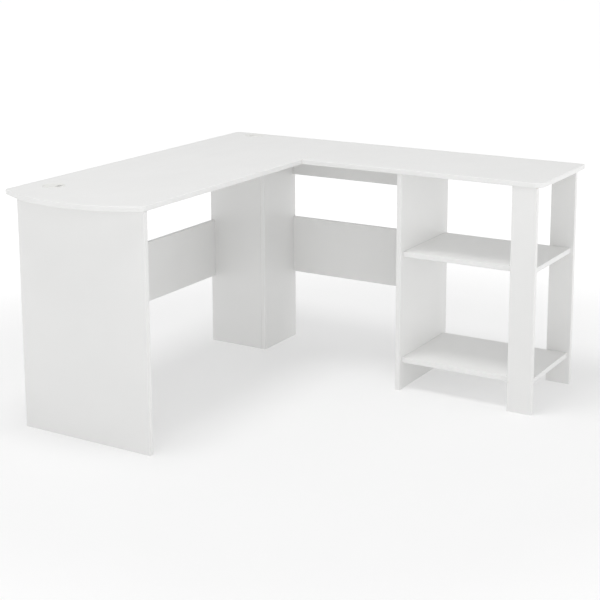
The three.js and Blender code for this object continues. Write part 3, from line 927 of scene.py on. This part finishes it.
def make_plate():
    """Flat steel plate with rounded corners, held up across the seam by two wood screws in each top."""
    low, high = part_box("joining_plate")
    plate = start_block("joining_plate_steel", low, high)
    soften(plate, PLATE_CORNER_RADIUS, lambda edge: 1 if is_upright(edge) else PLATE_EDGE_SHARE,
        segments=4)
    master = make_wood_screw()
    for name in PLATE_SCREWS:
        screw_low, screw_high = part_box(name)
        head = (screw_low + screw_high) / 2
        head.z = low.z
        reach = screw_high.z - low.z
        top = boards[PLATE_SCREWS[name]]
        bore(top, WOOD_SCREW_RADIUS + BORE_CLEARANCE, head, Z, reach + BORE_CLEARANCE, sides=20)
        hole = start_disc("plate_hole", WOOD_SCREW_RADIUS + BORE_CLEARANCE, low.z - CUT_MARGIN,
            high.z + CUT_MARGIN, sides=24, centre=head)
        cut(plate, hole)
        screw = place_copy(master, f"{name}_steel", head, X, Z)
        finish_piece(screw, name, STEEL)
    bpy.data.objects.remove(master)
    finish_piece(plate, "joining_plate", STEEL)


make_plate()


# Cable grommets


def make_sleeve():
    """Grommet sleeve with the desk's face at Z = 0: a wall with a ledge inside and a rounded flange."""
    low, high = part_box("end_grommet_sleeve")
    bottom = low.z - (high.z - FLANGE_HEIGHT)
    outer = GROMMET_HOLE_RADIUS - BORE_CLEARANCE
    inner = outer - SLEEVE_WALL
    flange = GROMMET_HOLE_RADIUS + FLANGE_OVERLAP
    ledge = FLANGE_HEIGHT - CAP_THICKNESS - CAP_SEAT_GAP
    return turn("grommet_sleeve", [
        (inner, bottom),
        (outer - 0.4 * MM, bottom),
        (outer, bottom + 0.6 * MM),
        (outer, 0),
        (flange - 0.15 * MM, 0),
        (flange, 0.2 * MM),
        (flange - 0.1 * MM, 0.7 * MM),
        (flange - 0.5 * MM, 1.15 * MM),
        (flange - 1.2 * MM, 1.4 * MM),
        (flange - 2.2 * MM, FLANGE_HEIGHT),
        (inner + 0.4 * MM, FLANGE_HEIGHT),
        (inner + 0.1 * MM, FLANGE_HEIGHT - 0.1 * MM),
        (inner, FLANGE_HEIGHT - 0.4 * MM),
        (inner, ledge),
        (inner - CAP_LEDGE + 0.2 * MM, ledge),
        (inner - CAP_LEDGE, ledge - 0.2 * MM),
        (inner - CAP_LEDGE, ledge - LEDGE_THICKNESS),
        (inner, ledge - LEDGE_THICKNESS - 0.4 * MM),
        (inner, bottom),
    ], steps=96)


def make_cap():
    """Grommet cap with its underside at Z = 0 and its cable slot towards +X: a rim round a dished face."""
    radius = GROMMET_HOLE_RADIUS - BORE_CLEARANCE - SLEEVE_WALL - CAP_CLEARANCE
    cap = start_disc("grommet_cap", radius, 0, CAP_THICKNESS, sides=96)
    with editing(cap):
        pick(cap, "faces", lambda face: face.normal.z > FACE_ON)
        bpy.ops.mesh.inset(thickness=CAP_RIM_WIDTH)
        bpy.ops.mesh.inset(thickness=CAP_DISH_WIDTH)
        bpy.ops.transform.translate(value=(0, 0, -CAP_DISH_DEPTH))
    half = CAP_SLOT_WIDTH / 2
    slot_back = radius - CAP_SLOT_DEPTH
    slot = start_block("cable_slot", Vector((slot_back, -half, -CUT_MARGIN)),
        Vector((radius + CUT_MARGIN, half, CAP_THICKNESS + CUT_MARGIN)))

    def share(edge):
        inside = all(vert.co.x < slot_back + CUT_MARGIN for vert in edge.verts)
        return 1 if is_upright(edge) and inside else 0

    soften(slot, CAP_SLOT_CORNER, share, segments=8)
    cut(cap, slot)
    soften_corners(cap, CAP_EDGE_RADIUS, segments=3, angle=50)
    return cap


sleeve_master = make_sleeve()
cap_master = make_cap()
for place, slot_way in (("end", X), ("corner", -Y)):
    sleeve_low, sleeve_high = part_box(f"{place}_grommet_sleeve")
    centre = (sleeve_low + sleeve_high) / 2
    centre.z = sleeve_high.z - FLANGE_HEIGHT
    top_low, top_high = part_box("main_top")
    below = Vector((centre.x, centre.y, top_low.z - CUT_MARGIN))
    bore(boards["main_top"], GROMMET_HOLE_RADIUS, below, Z, top_high.z - top_low.z + 2 * CUT_MARGIN,
        sides=96)
    sleeve = place_copy(sleeve_master, f"{place}_grommet_ring", centre, X, Z)
    finish_piece(sleeve, f"{place}_grommet_sleeve", PLASTIC)
    cap_base = Vector((centre.x, centre.y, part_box(f"{place}_grommet_cap")[0].z))
    cap = place_copy(cap_master, f"{place}_grommet_lid", cap_base, slot_way, Z)
    finish_piece(cap, f"{place}_grommet_cap", PLASTIC, f"{place}_cap")
bpy.data.objects.remove(sleeve_master)
bpy.data.objects.remove(cap_master)

for name, board in boards.items():
    finish_piece(board, name, None)


# Studio

FLOOR_SIZE = 240

# The room is a plain grey, and brightest at the horizon, where the floor meets it.
# The band fades out at a height of about 10 degrees, given by its sine.
ROOM_STRENGTH = 0.62
HORIZON_STRENGTH = 1
HORIZON_BAND = 0.17

bpy.ops.object.select_all(action="DESELECT")
bpy.ops.mesh.primitive_plane_add(size=FLOOR_SIZE)
floor = bpy.context.object
floor.name = "floor"
floor.data.materials.append(studio_floor())

world = bpy.data.worlds.new("studio")
world.use_nodes = True
room = world.node_tree
room.nodes.clear()
direction = node(room, "ShaderNodeTexCoord").outputs["Generated"]
height = node(room, "ShaderNodeSeparateXYZ", {0: direction})
glow = node(room, "ShaderNodeMapRange", {
    "Value": height.outputs["Z"], "From Min": 0, "From Max": HORIZON_BAND,
    "To Min": HORIZON_STRENGTH, "To Max": ROOM_STRENGTH},
    interpolation_type="SMOOTHSTEP")
light = node(room, "ShaderNodeBackground", {"Color": (1, 1, 1, 1), "Strength": glow.outputs[0]})
node(room, "ShaderNodeOutputWorld", {"Surface": light.outputs[0]})
bpy.context.scene.world = world
bpy.context.scene.view_settings.view_transform = "Standard"


def softbox(name, place, target, size, power):
    """A square area light that faces a target, its sides in metres and its power in watts."""
    light = bpy.data.lights.new(name, "AREA")
    light.size = size
    light.energy = power
    lamp = bpy.data.objects.new(name, light)
    turned = (target - place).to_track_quat("-Z", "Y").to_matrix().to_4x4()
    lamp.matrix_world = Matrix.Translation(place) @ turned
    bpy.context.collection.objects.link(lamp)


softbox("overhead_softbox", Vector((-0.3, -1.0, 5.5)), Vector((0, 0, 0.4)), size=1.8, power=91)
softbox("key_softbox", Vector((3.2, -5.2, 3.6)), Vector((0, 0, 0.4)), size=3, power=34)
softbox("side_softbox", Vector((4.4, 0.8, 1.5)), Vector((0.3, 0.2, 0.4)), size=1.6, power=20)
softbox("front_softbox", Vector((0.5, -7, 1.6)), Vector((0.2, 0, 0.4)), size=4, power=11)

# The camera stands to the front right, well above the tops, and looks back and slightly down.
# The lens is shifted down so that the uprights stay close to parallel.
CAMERA_PLACE = Vector((2.096, -3.494, 1.506))
CAMERA_HEADING = math.radians(-31.05)
CAMERA_PITCH = math.radians(-11.02)
CAMERA_ROLL = -0.0038
LENS_LENGTH = 82.7
LENS_SHIFT = -0.20

heading = Vector((math.sin(CAMERA_HEADING), math.cos(CAMERA_HEADING), 0))
forward = heading * math.cos(CAMERA_PITCH) + Z * math.sin(CAMERA_PITCH)
level = heading.cross(Z)
upright = level.cross(forward)
right = level * math.cos(CAMERA_ROLL) + upright * math.sin(CAMERA_ROLL)
up = upright * math.cos(CAMERA_ROLL) - level * math.sin(CAMERA_ROLL)
lens = bpy.data.cameras.new("camera")
lens.lens = LENS_LENGTH
lens.sensor_width = 36
lens.shift_y = LENS_SHIFT
lens.clip_end = 400
camera = bpy.data.objects.new("camera", lens)
facing = Matrix((right, up, -forward)).transposed().to_4x4()
camera.matrix_world = Matrix.Translation(CAMERA_PLACE) @ facing
bpy.context.collection.objects.link(camera)
bpy.context.scene.camera = camera
